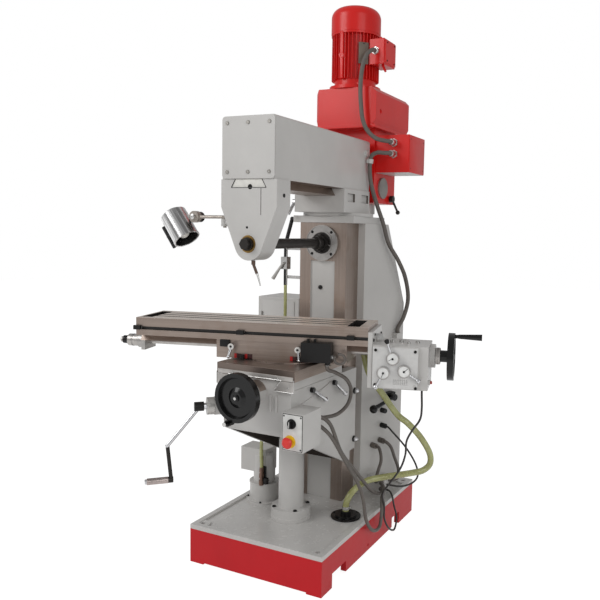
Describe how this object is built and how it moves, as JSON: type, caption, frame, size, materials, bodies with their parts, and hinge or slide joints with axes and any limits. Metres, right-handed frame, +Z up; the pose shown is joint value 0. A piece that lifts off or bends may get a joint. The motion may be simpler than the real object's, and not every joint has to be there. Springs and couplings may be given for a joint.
{
  "type": "milling machine",
  "caption": "Knee-type milling machine: column on a coolant tray base, ram with a tilting rear head, horizontal arbor, and a swivelling table with a feed gearbox and handwheels.",
  "frame": {"origin": "centre of the four anchor holes, on the floor under the base", "axes": "+Z up, +Y from the operator towards the column, +X to the operator's right"},
  "size_m": [1.3816, 1.2206, 2.234],
  "materials": {
    "grey_paint": "satin light grey paint on cast iron and sheet steel",
    "red_paint": "semi-gloss red paint",
    "ground_iron": "ground and lightly oiled",
    "bright_steel": "turned",
    "chrome": "polished",
    "polished_aluminium": "spun and polished",
    "black_metal": "black gloss",
    "black_plastic": "moulded",
    "red_plastic": "moulded",
    "bronze": "turned bronze",
    "dark_conduit": "smooth sheath",
    "clear_hose": "translucent yellowish tube"
  },
  "bodies": {
    "frame": {"base_skirt": "red_paint", "coolant_tray": "grey_paint", "column": "grey_paint", "turret": "grey_paint", "spindle_flange": "bright_steel", "electrical_cabinet": "grey_paint", "screw_pedestal": "grey_paint", "coolant_pump": "grey_paint", "drain_flange": "black_metal", "side_fittings": "black_plastic", "coolant_line": "bright_steel", "pump_hose": "clear_hose", "foot_conduits": "dark_conduit", "drain_hose": "clear_hose", "gearbox_cable": "dark_conduit", "head_conduit": "dark_conduit"},
    "turret_lever": {"turret_lever": "chrome"},
    "column_lever": {"column_lever": "black_plastic"},
    "valve_lever": {"valve_lever": "red_plastic"},
    "spindle": {"spindle_arbor": "bright_steel"},
    "ram": {"ram": "grey_paint", "ram_cover": "grey_paint", "arbor_support": "grey_paint", "arbor_bush": "bronze", "coolant_nozzle": "bright_steel"},
    "lamp_arm": {"lamp_arm": "bright_steel"},
    "lamp_head": {"lamp_head": "polished_aluminium"},
    "head": {"head_body": "red_paint", "gear_housing": "red_paint", "electric_box": "red_paint", "motor_body": "red_paint", "motor_cowl": "red_paint", "terminal_box": "red_paint", "motor_conduit": "dark_conduit"},
    "quill": {"quill": "bright_steel"},
    "quill_lever": {"quill_lever": "chrome"},
    "vertical_spindle": {"vertical_spindle": "bright_steel"},
    "knee": {"knee": "grey_paint", "control_box": "grey_paint", "switch_conduit": "dark_conduit"},
    "elevation_crank": {"elevation_crank": "chrome"},
    "crank_grip": {"crank_grip": "chrome"},
    "emergency_stop": {"emergency_stop": "red_plastic"},
    "rotary_switch": {"rotary_switch": "black_plastic"},
    "knee_lever_front": {"knee_lever_front": "chrome"},
    "knee_lever_back": {"knee_lever_back": "chrome"},
    "cross_handwheel": {"cross_handwheel": "black_metal"},
    "saddle": {"saddle": "ground_iron"},
    "carriage": {"swivel_carriage": "ground_iron", "limit_switch": "black_plastic"},
    "table_lock_left": {"table_lock_left": "chrome"},
    "table_lock_right": {"table_lock_right": "chrome"},
    "table": {"table": "ground_iron", "table_brackets": "grey_paint", "feed_gearbox": "grey_paint"},
    "table_drive": {"table_screw": "bright_steel", "table_handwheel": "black_metal"},
    "selector_top": {"selector_top": "chrome"},
    "selector_left": {"selector_left": "chrome"},
    "selector_right": {"selector_right": "chrome"}
  },
  "joints": [
    {"name": "turret_lock_turn", "type": "hinge", "parent": "frame", "child": "turret_lever", "pos_m": [-0.116, 0.045, 1.392], "axis": [1, 0, 0], "range_deg": [-30, 24]},
    {"name": "column_lever_turn", "type": "hinge", "parent": "frame", "child": "column_lever", "pos_m": [0.198, 0.305, 0.555], "axis": [0.9191, -0.3939, 0], "range_deg": [-30, 30]},
    {"name": "valve_turn", "type": "hinge", "parent": "frame", "child": "valve_lever", "pos_m": [-0.178, 0.04, 1.134], "axis": [0, 1, 0], "range_deg": [0, 90]},
    {"name": "spindle_turn", "type": "hinge", "parent": "frame", "child": "spindle", "pos_m": [0, 0.059, 1.224], "axis": [0, 1, 0], "continuous": true},
    {"name": "ram_slide", "type": "slide", "parent": "frame", "child": "ram", "axis": [0, 1, 0], "range_m": [0, 0.15], "deforming": ["head_conduit"]},
    {"name": "lamp_arm_turn", "type": "hinge", "parent": "ram", "child": "lamp_arm", "pos_m": [-0.132, -0.425, 1.296], "axis": [0, 0, 1], "range_deg": [-50, 80]},
    {"name": "lamp_tilt", "type": "hinge", "parent": "lamp_arm", "child": "lamp_head", "pos_m": [-0.252, -0.432, 1.315], "axis": [0, 1, 0], "range_deg": [-40, 40]},
    {"name": "head_tilt", "type": "hinge", "parent": "ram", "child": "head", "pos_m": [0, 0.29, 1.553], "axis": [0, 1, 0], "range_deg": [-45, 45], "deforming": ["head_conduit"]},
    {"name": "quill_lever_turn", "type": "hinge", "parent": "head", "child": "quill_lever", "pos_m": [0.118, 0.465, 1.425], "axis": [1, 0, 0], "range_deg": [0, 202]},
    {"name": "quill_feed", "type": "slide", "parent": "head", "child": "quill", "axis": [0, 0, 1], "range_m": [-0.105, 0]},
    {"name": "vertical_spindle_turn", "type": "hinge", "parent": "quill", "child": "vertical_spindle", "pos_m": [0, 0.465, 1.4], "axis": [0, 0, 1], "continuous": true},
    {"name": "knee_lift", "type": "slide", "parent": "frame", "child": "knee", "axis": [0, 0, 1], "range_m": [-0.115, 0.125], "deforming": ["drain_hose", "gearbox_cable", "foot_conduits"]},
    {"name": "crank_turn", "type": "hinge", "parent": "knee", "child": "elevation_crank", "pos_m": [-0.144, -0.41, 0.627], "axis": [-0.7071, -0.7071, 0], "range_deg": [-9000, 8280]},
    {"name": "grip_turn", "type": "hinge", "parent": "elevation_crank", "child": "crank_grip", "pos_m": [-0.31017, -0.57617, 0.363], "axis": [-0.7071, -0.7071, 0], "continuous": true},
    {"name": "stop_press", "type": "slide", "parent": "knee", "child": "emergency_stop", "axis": [0, 1, 0], "range_m": [0, 0.006], "stiffness_N_per_m": 800, "springref_m": -0.002},
    {"name": "switch_turn", "type": "hinge", "parent": "knee", "child": "rotary_switch", "pos_m": [0.184, -0.465, 0.617], "axis": [0, 1, 0], "range_deg": [-45, 45]},
    {"name": "knee_lever_front_turn", "type": "hinge", "parent": "knee", "child": "knee_lever_front", "pos_m": [0.144, -0.269, 0.69], "axis": [1, 0, 0], "range_deg": [-30, 30]},
    {"name": "knee_lever_back_turn", "type": "hinge", "parent": "knee", "child": "knee_lever_back", "pos_m": [0.144, -0.096, 0.684], "axis": [1, 0, 0], "range_deg": [-30, 30]},
    {"name": "cross_wheel_turn", "type": "hinge", "parent": "knee", "child": "cross_handwheel", "pos_m": [0, -0.5, 0.697], "axis": [0, 1, 0], "range_deg": [-1440, 3600]},
    {"name": "saddle_cross", "type": "slide", "parent": "knee", "child": "saddle", "axis": [0, 1, 0], "range_m": [-0.02, 0.05], "deforming": ["drain_hose", "gearbox_cable", "switch_conduit"]},
    {"name": "table_swivel", "type": "hinge", "parent": "saddle", "child": "carriage", "pos_m": [0, -0.198, 0.79], "axis": [0, 0, 1], "range_deg": [-45.6, 14.4], "deforming": ["drain_hose", "gearbox_cable", "switch_conduit"]},
    {"name": "table_lock_left_turn", "type": "hinge", "parent": "carriage", "child": "table_lock_left", "pos_m": [-0.14925, -0.34765, 0.839], "axis": [0.2689, -0.9632, 0], "range_deg": [-30, 30]},
    {"name": "table_lock_right_turn", "type": "hinge", "parent": "carriage", "child": "table_lock_right", "pos_m": [0.09731, -0.27881, 0.839], "axis": [0.2689, -0.9632, 0], "range_deg": [-35, 0]},
    {"name": "table_slide", "type": "slide", "parent": "carriage", "child": "table", "axis": [0.9632, 0.2689, 0], "range_m": [-0.06, 0.3], "deforming": ["drain_hose", "gearbox_cable"]},
    {"name": "table_wheel_turn", "type": "hinge", "parent": "table", "child": "table_drive", "pos_m": [0, -0.198, 0.822], "axis": [0.9632, 0.2689, 0], "range_deg": [-4320, 21600]},
    {"name": "selector_top_turn", "type": "hinge", "parent": "table", "child": "selector_top", "pos_m": [0.43915, -0.1979, 0.827], "axis": [0.2689, -0.9632, 0], "range_deg": [-25, 25]},
    {"name": "selector_left_turn", "type": "hinge", "parent": "table", "child": "selector_left", "pos_m": [0.40737, -0.20677, 0.774], "axis": [0.2689, -0.9632, 0], "range_deg": [-25, 25]},
    {"name": "selector_right_turn", "type": "hinge", "parent": "table", "child": "selector_right", "pos_m": [0.4796, -0.1866, 0.783], "axis": [0.2689, -0.9632, 0], "range_deg": [-25, 25]}
  ],
  "couplings": [
    {"joint": "knee_lift", "follows": "crank_turn", "m_per_rad": -0.00079577},
    {"joint": "saddle_cross", "follows": "cross_wheel_turn", "m_per_rad": 0.00079577},
    {"joint": "table_slide", "follows": "table_wheel_turn", "m_per_rad": 0.00079577},
    {"joint": "quill_lever_turn", "follows": "quill_feed", "rad_per_m": -33.333}
  ]
}
